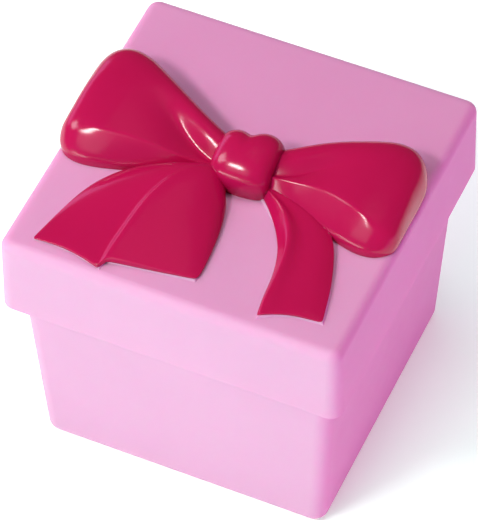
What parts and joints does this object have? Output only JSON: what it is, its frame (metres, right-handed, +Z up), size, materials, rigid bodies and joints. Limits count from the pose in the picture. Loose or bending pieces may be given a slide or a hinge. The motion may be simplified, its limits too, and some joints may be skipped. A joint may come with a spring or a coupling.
{
  "type": "gift box",
  "caption": "Tapered square gift box in moulded plastic with a deep lift-off lid and a moulded bow of loops, a knot and tails on top.",
  "frame": {"origin": "middle of the box's foot, on the surface it stands on", "axes": "+Z up, the way the lid lifts off; -Y the front, towards which the bow's tails point; +X to the right seen from the front"},
  "size_m": [0.101, 0.101, 0.0992],
  "materials": {
    "box_plastic": "satin light pink",
    "bow_plastic": "high gloss deep pink",
    "nut_steel": "plain spring steel"
  },
  "bodies": {
    "tub": {"tub": "box_plastic"},
    "lid": {"lid": "box_plastic", "knot": "bow_plastic", "left_loop": "bow_plastic", "right_loop": "bow_plastic", "left_tail": "bow_plastic", "right_tail": "bow_plastic", "knot_nut": "nut_steel", "left_loop_nut_1": "nut_steel", "left_loop_nut_2": "nut_steel", "right_loop_nut_1": "nut_steel", "right_loop_nut_2": "nut_steel", "left_tail_nut_1": "nut_steel", "left_tail_nut_2": "nut_steel", "right_tail_nut_1": "nut_steel", "right_tail_nut_2": "nut_steel"}
  },
  "joints": [
    {"name": "lid_lift", "type": "slide", "parent": "tub", "child": "lid", "axis": [0, 0, 1], "range_m": [0, 0.06]}
  ]
}
